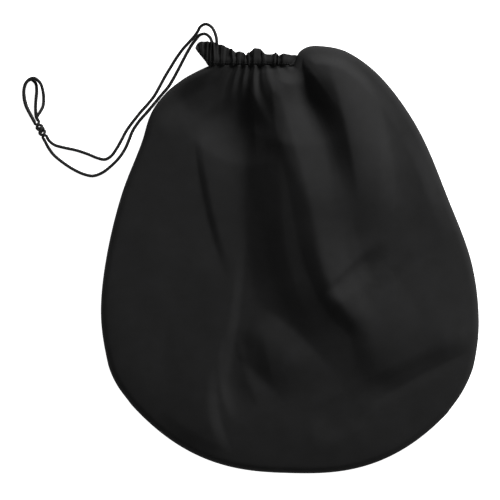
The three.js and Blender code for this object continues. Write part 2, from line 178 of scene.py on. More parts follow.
# Camera, table and light
CAMERA_HEIGHT = 3.0
CLOTH_LEVEL = 0.015
SENSOR_WIDTH = 36.0
TABLE_REACH = 4.0
TABLE_LEVEL = -0.0004
KEY_AZIMUTH = math.radians(55)
KEY_ELEVATION = math.radians(21)
KEY_AWAY = 6.0
KEY_SIZE = 2.8
KEY_POWER = 1065

# The square region of the photograph that the picture takes in, in its pixels
VIEW_LEFT_PX = 20.0
VIEW_TOP_PX = 24.0
VIEW_SPAN_PX = 230.0
BAG_LEFT_PX = 66.15
BAG_RIGHT_PX = 240.65
BAG_MIDDLE_ROW_PX = 142.9
METRES_PER_PX = BAG_WIDTH / (BAG_RIGHT_PX - BAG_LEFT_PX)


def table(names, rows):
    """Columns of a table by name, as arrays."""
    values = np.array(rows, float)
    return {name: values[:, i] for i, name in enumerate(names)}


SECTIONS = table(
    ["down", "left_x", "left_y", "right_x", "right_y", "climb", "sag", "square"],
    [
        [0.000, -0.214, 0.451, 0.006, 0.451, 10.0, 0.000, 6.0],
        [0.030, -0.246, 0.438, 0.027, 0.486, 10.0, 0.021, 5.0],
        [0.070, -0.280, 0.422, 0.068, 0.499, 5.0, 0.048, 4.5],
        [0.130, -0.323, 0.393, 0.152, 0.485, 3.0, 0.082, 4.0],
        [0.215, -0.366, 0.343, 0.247, 0.420, 2.0, 0.120, 3.3],
        [0.330, -0.393, 0.270, 0.341, 0.302, 1.3, 0.148, 2.9],
        [0.490, -0.447, 0.145, 0.420, 0.138, 1.0, 0.157, 2.6],
        [0.645, -0.486, 0.000, 0.480, -0.006, 1.0, 0.159, 2.5],
        [0.780, -0.500, -0.130, 0.500, -0.138, 1.0, 0.155, 2.5],
        [0.900, -0.482, -0.245, 0.487, -0.250, 1.0, 0.150, 2.5],
        [0.950, -0.459, -0.295, 0.458, -0.311, 1.0, 0.150, 2.6],
        [1.000, -0.419, -0.344, 0.416, -0.364, 1.0, 0.150, 2.65],
    ],
)

# Each fold's line bends through its middle. Its widths are those of its slopes to picture-left and
# picture-right of a line that runs downwards, and flare widens them from its start to its end.
# crisp is 1 for a tent with straight slopes and 2 for an arch.
FOLDS = table(
    ["start_x", "start_y", "middle_x", "middle_y", "end_x", "end_y",
     "left_width", "right_width", "height", "crisp", "flare"],
    [
        [-0.085, 0.570, 0.012, 0.265, 0.089, -0.036, 0.135, 0.340, 0.44, 1.15, 0.70],
        [0.055, 0.167, 0.098, -0.046, 0.216, -0.173, 0.130, 0.100, 0.20, 1.2, 0.0],
        [-0.055, 0.460, 0.036, 0.200, 0.089, -0.036, 0.045, 0.240, 0.13, 1.2, 0.2],
        [0.062, 0.110, 0.103, -0.060, 0.221, -0.189, 0.036, 0.065, 0.13, 1.2, -0.2],
        [0.145, -0.095, 0.210, -0.165, 0.220, -0.310, 0.048, 0.120, 0.09, 1.3, 0.0],
        [0.075, 0.030, 0.150, -0.122, 0.228, -0.295, 0.160, 0.240, 0.16, 1.3, 0.0],
        [0.045, 0.620, -0.020, 0.120, 0.095, -0.189, 0.092, 0.320, 0.32, 1.15, 0.25],
        [-0.078, 0.490, -0.071, 0.345, -0.057, 0.218, 0.020, 0.022, -0.10, 1.4, 0.2],
        [-0.236, 0.320, -0.203, 0.127, -0.140, -0.060, 0.016, 0.100, 0.08, 1.2, 0.0],
        [-0.135, 0.090, -0.160, -0.140, -0.197, -0.320, 0.150, 0.018, 0.13, 1.2, 0.0],
        [-0.186, -0.205, -0.220, -0.341, -0.160, -0.490, 0.120, 0.024, 0.10, 1.2, 0.0],
        [-0.128, -0.150, -0.157, -0.268, -0.112, -0.390, 0.024, 0.045, -0.10, 1.5, 0.0],
        [-0.118, -0.165, -0.096, -0.240, -0.082, -0.315, 0.022, 0.032, -0.05, 1.5, 0.0],
        [-0.118, -0.160, -0.034, -0.210, 0.070, -0.310, 0.080, 0.060, 0.17, 1.6, 0.0],
        [0.020, 0.460, 0.084, 0.320, 0.143, 0.105, 0.120, 0.050, -0.25, 1.4, -0.3],
        [-0.010, 0.500, 0.150, 0.358, 0.202, 0.040, 0.080, 0.075, 0.25, 1.6, 0.0],
        [0.262, 0.370, 0.290, 0.230, 0.262, 0.060, 0.045, 0.060, -0.06, 1.8, 0.0],
        [0.092, -0.090, 0.158, -0.042, 0.262, 0.040, 0.034, 0.018, -0.13, 1.4, 0.2],
        [0.500, -0.180, 0.310, -0.265, 0.130, -0.350, 0.026, 0.045, -0.05, 1.4, 0.0],
        [0.560, -0.138, 0.340, -0.230, 0.150, -0.325, 0.240, 0.040, 0.13, 1.3, 0.0],
        [0.050, -0.405, 0.130, -0.370, 0.220, -0.335, 0.050, 0.050, -0.04, 1.8, 0.0],
        [-0.215, 0.395, -0.140, 0.325, -0.060, 0.330, 0.105, 0.105, -0.22, 1.6, 0.0],
        [-0.120, 0.415, -0.035, 0.410, 0.050, 0.430, 0.170, 0.050, 0.26, 1.4, 0.0],
        [-0.060, 0.405, 0.022, 0.365, 0.100, 0.385, 0.110, 0.130, -0.34, 1.5, 0.0],
        [-0.150, 0.455, -0.245, 0.395, -0.355, 0.310, 0.038, 0.055, -0.12, 1.5, 0.0],
    ],
)

# Fine gathers that leave the stitching. across is where, reach is how far down they fade out.
PLEATS = table(
    ["across", "width", "reach", "height"],
    [
        [0.060, 0.030, 0.030, 0.0010],
        [0.130, 0.030, 0.035, -0.0010],
        [0.200, 0.028, 0.030, 0.0010],
        [0.285, 0.022, 0.050, -0.0016],
        [0.343, 0.020, 0.045, 0.0022],
        [0.390, 0.018, 0.045, -0.0018],
        [0.437, 0.018, 0.050, 0.0022],
        [0.484, 0.018, 0.045, -0.0018],
        [0.547, 0.022, 0.060, 0.0026],
        [0.604, 0.026, 0.080, -0.0026],
        [0.700, 0.030, 0.060, 0.0016],
        [0.770, 0.025, 0.030, -0.0010],
        [0.830, 0.022, 0.030, 0.0010],
        [0.890, 0.022, 0.030, -0.0010],
        [0.940, 0.020, 0.030, 0.0008],
    ],
)

# The hem above its stitching, from its flared end at the left to its right end.
RUFFLES = table(
    ["along", "low", "high"],
    [
        [-0.170, 1.00, 1.16],
        [-0.095, 0.62, 1.38],
        [-0.040, 0.26, 1.42],
        [0.000, 0.00, 1.42],
        [0.100, 0.00, 1.35],
        [0.205, 0.00, 1.10],
        [0.300, 0.00, 0.97],
        [0.345, 0.00, 0.82],
        [0.405, 0.00, 0.80],
        [0.460, 0.00, 0.62],
        [0.520, 0.00, 0.80],
        [0.575, 0.00, 1.00],
        [0.650, 0.00, 0.95],
        [0.720, 0.00, 0.72],
        [0.770, 0.00, 0.68],
        [0.825, 0.00, 0.74],
        [0.872, 0.00, 0.62],
        [0.926, 0.00, 0.68],
        [1.000, 0.00, 0.62],
    ],
)

# The hem's section from its stitching to its crest: half thickness and pucker depth by level.
HEM_SECTION = table(
    ["level", "swell", "depth"],
    [
        [0.00, 0.30, 0.60],
        [0.08, 0.46, 0.60],
        [0.20, 0.78, 0.55],
        [0.35, 0.97, 0.50],
        [0.50, 1.00, 0.55],
        [0.62, 0.86, 0.80],
        [0.74, 0.62, 1.10],
        [0.86, 0.48, 1.40],
        [0.95, 0.36, 1.60],
        [1.00, 0.14, 1.70],
    ],
)

# The cord's routes, as in the construction, in millimetres.
CORD_ROUTES_MM = {
    "drawcord_strand_a": [
        (-86.9, 252.5, 20.6), (-87.1, 260.0, 20.2), (-89.5, 268.7, 17.5), (-93.9, 275.4, 14.0),
        (-100.2, 278.4, 11.2), (-106.2, 275.6, 9.2), (-109.6, 270.0, 7.8), (-113.6, 264.4, 6.8),
        (-120.6, 256.6, 5.8), (-127.4, 249.2, 4.6), (-135.6, 238.0, 2.6), (-142.1, 227.5, 2.0),
        (-148.4, 217.1, 2.0), (-155.2, 204.5, 2.0), (-161.6, 193.4, 2.0), (-169.8, 183.2, 2.0),
        (-177.4, 174.8, 2.0), (-186.8, 163.0, 2.0), (-194.6, 152.2, 2.0), (-200.2, 141.6, 2.0),
        (-206.0, 131.3, 2.0), (-212.5, 122.4, 2.0), (-220.2, 118.0, 2.0), (-229.0, 119.6, 2.0),
        (-240.9, 124.4, 2.0), (-254.2, 128.8, 2.0), (-270.6, 132.4, 2.0), (-280.6, 135.4, 2.6),
        (-286.75, 140.35, 4.2), (-289.62, 145.61, 5.0),
    ],
    "drawcord_strand_b": [
        (-92.1, 249.0, 5.0), (-92.4, 256.0, 4.8), (-95.2, 263.2, 4.2), (-101.0, 267.4, 3.0),
        (-107.4, 266.2, 2.2), (-112.2, 260.8, 2.0), (-117.4, 253.6, 2.0), (-122.6, 244.6, 2.0),
        (-127.6, 235.2, 2.0), (-133.2, 224.4, 2.0), (-138.8, 214.0, 2.0), (-144.6, 204.6, 2.0),
        (-152.2, 195.8, 2.0), (-160.4, 185.8, 2.0), (-169.8, 174.6, 2.0), (-179.6, 163.4, 2.0),
        (-187.2, 151.9, 2.0), (-191.4, 141.6, 2.0), (-195.8, 131.3, 2.0), (-202.6, 120.9, 2.0),
        (-212.5, 110.6, 2.0), (-223.2, 102.4, 2.0), (-234.4, 98.4, 2.0), (-246.0, 100.6, 2.0),
        (-259.0, 106.8, 2.0), (-271.8, 115.4, 2.0), (-281.8, 124.0, 2.0), (-287.5, 131.8, 2.8),
        (-290.79, 138.15, 4.2), (-293.66, 143.41, 5.0),
    ],
    "drawcord_loop_a": [
        (-303.58, 161.59, 2.8), (-305.97, 165.98, 2.3), (-310.0, 173.6, 2.0), (-313.8, 182.0, 2.0),
        (-316.0, 191.0, 2.0), (-316.8, 200.0, 2.0), (-314.6, 209.0, 2.0), (-308.6, 213.2, 2.0),
        (-302.8, 208.8, 2.0), (-301.6, 200.0, 2.0), (-302.4, 190.0, 2.0), (-302.9, 179.0, 2.0),
        (-301.93, 168.18, 2.3), (-299.54, 163.79, 2.8),
    ],
    "drawcord_loop_b": [
        (-303.58, 161.59, 7.2), (-305.97, 165.98, 6.8), (-310.2, 173.6, 6.5), (-314.2, 182.0, 6.4),
        (-316.4, 192.0, 6.4), (-316.2, 202.0, 6.4), (-312.2, 211.4, 6.4), (-304.6, 214.6, 6.4),
        (-297.6, 209.4, 5.2), (-294.2, 200.0, 2.6), (-293.2, 190.0, 2.0), (-294.0, 181.0, 3.2),
        (-297.4, 174.0, 5.8), (-300.9, 168.0, 7.1), (-299.54, 163.79, 7.2),
    ],
}


# Camera
def add_camera():
    """Looks straight down on the bag, from far enough for a nearly parallel view."""
    centre_px = (VIEW_LEFT_PX + VIEW_SPAN_PX / 2, VIEW_TOP_PX + VIEW_SPAN_PX / 2)
    bag_centre_px = (BAG_LEFT_PX + BAG_RIGHT_PX) / 2
    x = (centre_px[0] - bag_centre_px) * METRES_PER_PX
    y = (BAG_MIDDLE_ROW_PX - centre_px[1]) * METRES_PER_PX
    data = bpy.data.cameras.new("camera")
    data.sensor_width = SENSOR_WIDTH
    data.lens = SENSOR_WIDTH * (CAMERA_HEIGHT - CLOTH_LEVEL) / (VIEW_SPAN_PX * METRES_PER_PX)
    camera = bpy.data.objects.new("camera", data)
    camera.location = (x, y, CAMERA_HEIGHT)
    bpy.context.scene.collection.objects.link(camera)
    bpy.context.scene.camera = camera


# Curves and tables
def smooth_column(rows, place_name, name, place):
    """Smooth value of one column at places along another, as the construction works it out."""
    xs = rows[place_name]
    ys = rows[name]
    place = np.asarray(place, float)
    i = np.clip(np.searchsorted(xs, place, side="left") - 1, 0, len(xs) - 2)
    before = np.maximum(np.arange(len(xs)) - 1, 0)
    after = np.minimum(np.arange(len(xs)) + 1, len(xs) - 1)
    slopes = (ys[after] - ys[before]) / (xs[after] - xs[before])
    width = xs[i + 1] - xs[i]
    t = np.clip((place - xs[i]) / width, 0, 1)
    start = (2 * t**3 - 3 * t**2 + 1) * ys[i]
    end = (3 * t**2 - 2 * t**3) * ys[i + 1]
    leave = (t**3 - 2 * t**2 + t) * width * slopes[i]
    arrive = (t**3 - t**2) * width * slopes[i + 1]
    return start + end + leave + arrive


def smoothstep(value, low, high):
    t = np.clip((value - low) / (high - low), 0, 1)
    return t * t * (3 - 2 * t)


def crowded(count, crowding):
    """Shares from 0 to 1 that lie closer together at both ends."""
    t = np.arange(count + 1) / count
    return t - crowding * np.sin(2 * math.pi * t) / (2 * math.pi)


def blend(first, second, t, start, end):
    """The first point where t is at its start, and the second where it is at its end."""
    return (end - t) / (end - start) * first + (t - start) / (end - start) * second


def lengths_along(path):
    """How far along a path each of its points is."""
    return np.concatenate([[0], np.cumsum(np.linalg.norm(np.diff(path, axis=0), axis=1))])


def columns_at(stops, places, rows):
    """Rows of three numbers between the given ones, at stops along the places."""
    return np.column_stack([np.interp(stops, places, rows[:, k]) for k in range(3)])


def catmull_rom(points, spacing):
    """Evenly spaced points along a smooth curve through the given ones."""
    points = np.asarray(points, float)
    padded = np.vstack([2 * points[0] - points[1], points, 2 * points[-1] - points[-2]])
    dense = []
    for p0, p1, p2, p3 in zip(padded, padded[1:], padded[2:], padded[3:]):
        knots = np.cumsum([0.0] + [max(np.linalg.norm(b - a), 1e-9) ** 0.5
                                   for a, b in ((p0, p1), (p1, p2), (p2, p3))])
        t = np.linspace(knots[1], knots[2], CURVE_STEPS, endpoint=False)[:, None]
        a1 = blend(p0, p1, t, knots[0], knots[1])
        a2 = blend(p1, p2, t, knots[1], knots[2])
        a3 = blend(p2, p3, t, knots[2], knots[3])
        b1 = blend(a1, a2, t, knots[0], knots[2])
        b2 = blend(a2, a3, t, knots[1], knots[3])
        dense.append(blend(b1, b2, t, knots[1], knots[2]))
    dense = np.vstack(dense + [points[-1:]])
    travelled = lengths_along(dense)
    count = max(int(round(travelled[-1] / spacing)), 2)
    stops = np.linspace(0, travelled[-1], count + 1)
    return columns_at(stops, travelled, dense)


# The laid bag's form
def plan_points(across, down):
    """Places on the laid bag, seen from above, across its sections from seam to seam."""
    at = {name: smooth_column(SECTIONS, "down", name, down) for name in SECTIONS if name != "down"}
    bow = 1 - np.abs(2 * across - 1) ** at["square"]
    x = at["left_x"] + (at["right_x"] - at["left_x"]) * across
    y = at["left_y"] + (at["right_y"] - at["left_y"]) * across ** at["climb"] - at["sag"] * bow
    return x * BAG_WIDTH, y * BAG_LENGTH


def distance_to_lines(x, y, line):
    """Distance from places to a line of points, and how far along the line the nearest is."""
    best = np.full(x.shape, np.inf)
    where = np.zeros(x.shape)
    side = np.zeros(x.shape)
    for i, ((ax, ay), (bx, by)) in enumerate(zip(line, line[1:])):
        dx, dy = bx - ax, by - ay
        length = math.hypot(dx, dy)
        t = np.clip(((x - ax) * dx + (y - ay) * dy) / length**2, 0, 1)
        away_x = x - ax - t * dx
        away_y = y - ay - t * dy
        distance = np.hypot(away_x, away_y)
        nearer = distance < best
        best = np.where(nearer, distance, best)
        where = np.where(nearer, (i + t) / (len(line) - 1), where)
        turn = (dx * away_y - dy * away_x) / (length * np.maximum(distance, 1e-6))
        side = np.where(nearer, turn, side)
    return best, where, side


def outline():
    """The sewn edge, from the mouth's left end round the bottom to its right end."""
    steps = np.linspace(0, 1, OUTLINE_STEPS)
    left = np.column_stack(plan_points(np.zeros_like(steps), steps))
    bottom = np.column_stack(plan_points(steps, np.ones_like(steps)))
    right = np.column_stack(plan_points(np.ones_like(steps), steps[::-1]))
    return np.vstack([left, bottom[1:], right[1:]])


def rolled(distance, reach):
    """Quarter-round rise from 0 at an edge to 1 at the given reach from it."""
    left = 1 - np.minimum(distance / reach, 1)
    return np.sqrt(1 - left**2)


def fold_height(x, y):
    """How far the folds lift the cloth, and how far the hollows between them lower it."""
    total = np.zeros_like(x)
    for i in range(len(FOLDS["height"])):
        fold = {name: column[i] for name, column in FOLDS.items()}
        start = np.array([fold["start_x"] * BAG_WIDTH, fold["start_y"] * BAG_LENGTH])
        middle = np.array([fold["middle_x"] * BAG_WIDTH, fold["middle_y"] * BAG_LENGTH])
        end = np.array([fold["end_x"] * BAG_WIDTH, fold["end_y"] * BAG_LENGTH])
        pull = 2 * middle - (start + end) / 2
        t = np.linspace(0, 1, FOLD_STEPS + 1)[:, None]
        line = (1 - t) ** 2 * start + 2 * t * (1 - t) * pull + t**2 * end
        away, where, side = distance_to_lines(x, y, line)
        width = fold["left_width"] + (fold["right_width"] - fold["left_width"]) * (0.5 + side / 2)
        width = width * (1 + fold["flare"] * (2 * where - 1)) * BAG_WIDTH
        swell = smoothstep(where, 0, FADE_IN) * (1 - smoothstep(where, 1 - FADE_IN, 1))
        shape = (np.hypot(away, CREST_ROUNDING) - CREST_ROUNDING) / width
        slope = 1 - shape ** fold["crisp"]
        tent = (slope + np.hypot(slope, FOOT_ROUNDING)) / (1 + math.hypot(1, FOOT_ROUNDING))
        total += fold["height"] * LOFT * swell * tent
    return total


def pleats(across, down):
    """The fine gathers beside the stitching."""
    total = np.zeros_like(across)
    for i in range(len(PLEATS["across"])):
        pleat = {name: column[i] for name, column in PLEATS.items()}
        turn = PLEAT_DRIFT_RATE * down + PLEAT_DRIFT_OFFSET * pleat["across"]
        drift = pleat["across"] + PLEAT_DRIFT * np.sin(turn)
        hump = np.exp(-(((across - drift) / pleat["width"]) ** 2))
        total += pleat["height"] * hump * np.exp(-((down / pleat["reach"]) ** PLEAT_FADE))
    return total


def random_waves(x, y, waves):
    """Soft uneven waves, longer along the bag than across it by their stretch."""
    sx = 1 / waves["size"]
    sy = 1 / (waves["size"] * waves["stretch"])
    seed = waves["seed"]
    flat = [noise.noise(Vector((a * sx, b * sy, seed))) for a, b in zip(x.ravel(), y.ravel())]
    return waves["height"] * np.array(flat).reshape(x.shape)


def mouth_share(down):
    """1 at the mouth, and 0 where the panels no longer follow the hem."""
    return 1 - smoothstep(down, 0, MOUTH_REACH)


def seam_height(down):
    """Height of the sewn edge, which rises to the hem's middle at the mouth."""
    body = SEAM_LIFT + CAD_WALL
    return body + (MOUTH_MIDDLE - body) * mouth_share(down)


OUTLINE = outline()


def distance_inward(across, down, x, y):
    """How far inside the bag's sewn edge places are."""
    inward, _, _ = distance_to_lines(x, y, OUTLINE)
    inward[(across <= 0) | (across >= 1) | (down >= 1)] = 0
    return inward


def front_height(across, down):
    """Outer face of the front panel."""
    x, y = plan_points(across, down)
    inward = distance_inward(across, down, x, y)
    mouth = mouth_share(down)
    lip = rolled(inward, MOUTH_RADIUS) * (UPPER_RUN + CAD_WALL / 2 - MOUTH_MIDDLE)
    base = EDGE_RISE * rolled(inward, EDGE_REACH) + SWELL_RISE * rolled(inward, SWELL_REACH)
    waves = random_waves(x, y, SOFT_WAVES) + random_waves(x, y, FINE_WAVES)
    creases = (fold_height(x, y) + waves) * smoothstep(inward, 0, FOLD_FADE)
    body = base + creases / np.sqrt(np.maximum(1 - mouth, LEAST_PULL))
    fine = pleats(across, down) * smoothstep(inward, 0, LIP_SOFTENING)
    z = seam_height(down) + mouth * lip + (1 - mouth) * body + fine
    clearance = EDGE_CLEARANCE * smoothstep(inward, 0, EDGE_CLEARANCE_REACH)
    return x, y, np.maximum(z, seam_height(down) + clearance)


def back_height(across, down):
    """Outer face of the back panel, which lies on the floor."""
    x, y = plan_points(across, down)
    inward = distance_inward(across, down, x, y)
    mouth = mouth_share(down)
    lip = rolled(inward, MOUTH_RADIUS) * (MOUTH_MIDDLE - LOWER_RUN + CAD_WALL / 2)
    body = rolled(inward, BACK_ROLL) * (SEAM_LIFT + CAD_WALL)
    ripple = smoothstep(inward, 0, BACK_ROLL) * (BACK_WAVES["height"] + random_waves(x, y, BACK_WAVES))
    fine = np.abs(pleats(across, down)) * smoothstep(inward, 0, LIP_SOFTENING) * BACK_PLEAT_SHARE
    z = seam_height(down) - mouth * lip - (1 - mouth) * body
    return x, y, np.maximum(z + fine + ripple * (1 - mouth), 0.0)


# Meshes
def new_object(name, points, faces, material):
    mesh = bpy.data.meshes.new(name)
    mesh.from_pydata([tuple(map(float, p)) for p in points], [], faces)
    mesh.validate()
    mesh.materials.append(material)
    mesh.polygons.foreach_set("use_smooth", [True] * len(mesh.polygons))
    mesh.update()
    piece = bpy.data.objects.new(name, mesh)
    bpy.context.scene.collection.objects.link(piece)
    return piece


def grid_faces(rows, columns, flip):
    faces = []
    for j in range(rows - 1):
        for i in range(columns - 1):
            a = j * columns + i
            quad = (a, a + columns, a + columns + 1, a + 1)
            faces.append(quad[::-1] if flip else quad)
    return faces


def sheet_piece(name, place, grid, material, flip):
    """A panel of cloth with its thickness, from a function that gives its outer face."""
    columns, rows = grid
    across, down = np.meshgrid(crowded(columns, CROWDING_ACROSS), crowded(rows, CROWDING_ALONG))
    x, y, z = place(across, down)
    points = np.column_stack([x.ravel(), y.ravel(), z.ravel()])
    piece = new_object(name, points, grid_faces(rows + 1, columns + 1, flip), material)
    wall = piece.modifiers.new("wall", "SOLIDIFY")
    wall.thickness = CLOTH
    wall.offset = -1
    wall.use_even_offset = False
    return piece


def ring_faces(rings, size):
    """Faces of a closed tube of rings, with its two ends."""
    faces = []
    for k in range(rings - 1):
        for i in range(size):
            a = k * size + i
            b = k * size + (i + 1) % size
            faces.append((a, b, b + size, a + size))
    faces.append(tuple(range(size))[::-1])
    faces.append(tuple((rings - 1) * size + i for i in range(size)))
    return faces


def tube_frames(path):
    """A side and an up direction at each point of a path, carried along without twist."""
    tangent = np.gradient(path, axis=0)
    tangent /= np.linalg.norm(tangent, axis=1)[:, None]
    side = np.cross(tangent[0], [0, 0, 1.0])
    if np.linalg.norm(side) < 1e-3:
        side = np.cross(tangent[0], [0, 1.0, 0])
    sides = []
    for t in tangent:
        side = side - t * np.dot(side, t)
        side = side / np.linalg.norm(side)
        sides.append(side)
    sides = np.array(sides)
    return sides, np.cross(tangent, sides)


def around_path(path, angle):
    """Directions away from a path, at each of its points and each angle around it."""
    sides, ups = tube_frames(path)
    return (np.cos(angle)[None, :, None] * sides[:, None, :]
            + np.sin(angle)[None, :, None] * ups[:, None, :])


def joined(tubes):
    """Several tubes' points and faces as one mesh's."""
    points = []
    faces = []
    for tube, tube_faces in tubes:
        faces += [tuple(v + len(points) for v in face) for face in tube_faces]
        points += list(tube)
    return points, faces


def braided_tube(path, radius, around):
    """A cord's mesh: a tube with the raised diamonds of a round braid and rounded ends."""
    travelled = lengths_along(path)
    angle = np.arange(around) * 2 * math.pi / around
    s = travelled[:, None] * 2 * math.pi / BRAID_PITCH
    weave = np.cos(BRAID_CARRIERS * angle + s) * np.cos(BRAID_CARRIERS * angle - s)
    from_end = np.minimum(travelled, travelled[-1] - travelled)[:, None]
    r = radius * (BRAID_MEAN + BRAID_RELIEF * weave)
    r = r * (1 - CORD_END_NARROWING * (1 - rolled(from_end, radius * CORD_END_REACH)))
    points = path[:, None, :] + r[..., None] * around_path(path, angle)
    return points.reshape(-1, 3), ring_faces(len(path), around)


# Materials
def set_values(node, values):
    for socket, value in values.items():
        node.inputs[socket].default_value = value


def principled(name, values):
    """A new material, and its shader with the given values."""
    material = bpy.data.materials.new(name)
    material.use_nodes = True
    shader = material.node_tree.nodes["Principled BSDF"]
    set_values(shader, values)
    return material, shader


def add_node(material, kind, values, sources):
    """A node with the given values, and with its other sockets linked to their sources."""
    node = material.node_tree.nodes.new(kind)
    set_values(node, values)
    for socket, source in sources.items():
        material.node_tree.links.new(source, node.inputs[socket])
    return node


def add_ramp(material, source, low, high):
    """A colour ramp between two stops, each of which is a position and a colour."""
    ramp = add_node(material, "ShaderNodeValToRGB", {}, {"Fac": source})
    for element, (position, colour) in zip(ramp.color_ramp.elements, (low, high)):
        element.position = position
        element.color = (*colour, 1)
    return ramp.outputs["Color"]


def dress(material, shader, colour, roughness, normal):
    """Links the colour, roughness and bump of a material to its shader."""
    for socket, source in (("Base Color", colour), ("Roughness", roughness), ("Normal", normal)):
        material.node_tree.links.new(source, shader.inputs[socket])


def cloth_material(name, dark, light):
    """Matte brushed knit: a soft nap over fine wales, with slight mottling."""
    material, shader = principled(
        name, {"Specular IOR Level": 0.06, "Sheen Weight": 0.01, "Sheen Roughness": 0.5})
    place = add_node(material, "ShaderNodeTexCoord", {}, {}).outputs["Object"]
    mottle = add_node(material, "ShaderNodeTexNoise",
                      {"Scale": 55.0, "Detail": 6.0, "Roughness": 0.65}, {"Vector": place})
    colour = add_ramp(material, mottle.outputs["Fac"], (0.32, (dark, dark, dark)),
                      (0.70, (light, light, light * CLOTH_BLUENESS)))
    nap = add_node(material, "ShaderNodeTexNoise",
                   {"Scale": 1400.0, "Detail": 4.0, "Roughness": 0.7}, {"Vector": place})
    wales = add_node(material, "ShaderNodeTexWave",
                     {"Scale": 260.0, "Distortion": 1.2, "Detail": 2.0}, {"Vector": place})
    wales.wave_type = "BANDS"
    wales.bands_direction = "X"
    both = add_node(material, "ShaderNodeMix", {0: WALES_SHARE},
                    {2: nap.outputs["Fac"], 3: wales.outputs["Fac"]})
    rough = add_node(material, "ShaderNodeMapRange", {"To Min": 0.80, "To Max": 0.98},
                     {"Value": nap.outputs["Fac"]})
    bump = add_node(material, "ShaderNodeBump", {"Strength": 0.35, "Distance": 0.0006},
                    {"Height": both.outputs[0]})
    dress(material, shader, colour, rough.outputs["Result"], bump.outputs["Normal"])
    return material


def cord_material(name, tone):
    """Black braided polyester, a little smoother than the cloth, with flecked yarns."""
    material, shader = principled(name, {"Specular IOR Level": 0.12, "Sheen Weight": 0.02})
    place = add_node(material, "ShaderNodeTexCoord", {}, {}).outputs["Object"]
    yarns = add_node(material, "ShaderNodeTexNoise", {"Scale": 900.0, "Detail": 3.0},
                     {"Vector": place}).outputs["Fac"]
    colour = add_ramp(material, yarns, (0.0, [tone * YARN_DARK] * 3), (1.0, [tone * YARN_LIGHT] * 3))
    rough = add_node(material, "ShaderNodeMapRange", {"To Min": 0.55, "To Max": 0.80},
                     {"Value": yarns})
    bump = add_node(material, "ShaderNodeBump", {"Strength": 0.3, "Distance": 0.0002},
                    {"Height": yarns})
    dress(material, shader, colour, rough.outputs["Result"], bump.outputs["Normal"])
    return material


def floor_material():
    """A pale lit table, as white as the photograph's ground."""
    material, _ = principled("table_white", {
        "Roughness": 0.9,
        "Base Color": (0.9, 0.9, 0.9, 1),
        "Emission Color": (1, 1, 1, 1),
        "Emission Strength": 0.95,
    })
    return material


# Pieces
def gather_wave(share):
    """The puckers of the gathered hem."""
    fade = smoothstep(share, *LEFT_FADE) * (1 - smoothstep(share, *RIGHT_FADE))
    count = HEM_FOLDS * np.maximum(share, 0) + FLARE_FOLDS * np.minimum(share, 0)
    phase = count + sum(size * np.sin(rate * share) for size, rate in SPACING_WAVES)
    turn = 2 * math.pi * phase
    uneven = MEAN_GATHER + GATHER_SWING * np.sin(GATHER_SWING_RATE * share + GATHER_SWING_OFFSET)
    second = SECOND_RIPPLE * np.sin(SECOND_RIPPLE_FOLDS * turn + SECOND_RIPPLE_OFFSET)
    return fade * uneven * (np.sin(turn) + second) / (1 + SECOND_RIPPLE)


def casing_rings(share, front, casing_left, casing_length, mouth_y):
    """Rings of the hem for stations along one run; front is 1 on the upper run, -1 on the lower."""
    turn_start = casing_left + casing_length - MOUTH_RADIUS
    x = casing_left + share * casing_length
    turn = np.arcsin(np.clip((x - turn_start) / MOUTH_RADIUS, 0, 1))
    out = np.column_stack([np.sin(turn), np.zeros_like(turn), front * np.cos(turn)])
    place = np.column_stack([np.minimum(x, turn_start), np.full_like(x, mouth_y),
                             np.full_like(x, MOUTH_MIDDLE)]) + MOUTH_RADIUS * out
    low = np.maximum(smooth_column(RUFFLES, "along", "low", share), 0) * CASING_HEIGHT - HEM_TUCK
    crest = smooth_column(RUFFLES, "along", "high", share) * CASING_HEIGHT
    if front < 0:
        crest = np.maximum(LOWER_CREST * CASING_HEIGHT, crest * LOWER_CREST_SHARE)
    pucker = gather_wave(share)
    crest = crest + PUCKER_CREST * pucker * (share > FLARE_WHOLE)
    flared = smoothstep(-share, -FLARE_BEGINS, -FLARE_WHOLE)
    levels = HEM_SECTION["level"]
    depth = HEM_SECTION["depth"]
    above = (levels - CHANNEL_LEVEL) / (1 - CHANNEL_LEVEL)
    channel_top = (CHANNEL_RISE + CHANNEL_HALF) / CHANNEL_LEVEL
    sway = HEM_SWAY * np.cos(HEM_SWAY_RATE * share)
    lean_end = HEM_END_LEAN * np.maximum(share - (1 - HEM_END_SHARE), 0) / HEM_END_SHARE
    rings = []
    for k in range(len(share)):
        span = crest[k] - low[k]
        reach = min(channel_top, span)
        channel = reach * CHANNEL_LEVEL
        folded = np.where(levels < CHANNEL_LEVEL, levels * reach, channel + above * (span - channel))
        rise = low[k] + folded * (1 - flared[k]) + levels * span * flared[k]
        half = CHANNEL_HALF * HEM_SECTION["swell"] * (1 - FLARE_THINNING * flared[k])
        shift = PUCKER_DEPTH * depth * pucker[k]
        lean = (sway[k] + lean_end[k]) * depth
        middle = place[k] + np.column_stack([lean, rise, np.zeros_like(rise)])
        outer = middle + (shift + half)[:, None] * out[k]
        inner = middle + (shift - half)[:, None] * out[k]
        rings.append(np.vstack([outer, inner[::-1]]))
    return rings


def make_casing(material):
    """The hem's mesh, and the rings of its upper run."""
    mouth_x, mouth_y = plan_points(np.array([0.0, 1.0]), np.array([0.0, 0.0]))
    length = mouth_x[1] - CHANNEL_HALF - mouth_x[0]
    upper = np.linspace(HEM_START, 1.0, UPPER_STATIONS)
    lower = np.linspace(1.0, LOWER_HEM_START, LOWER_STATIONS)[1:]
    rings = casing_rings(upper, 1, mouth_x[0], length, mouth_y[0])
    rings += casing_rings(lower, -1, mouth_x[0], length, mouth_y[0])
    size = len(rings[0])
    hem = new_object("casing_cloth", np.vstack(rings), ring_faces(len(rings), size), material)
    return hem, rings[:len(upper)]


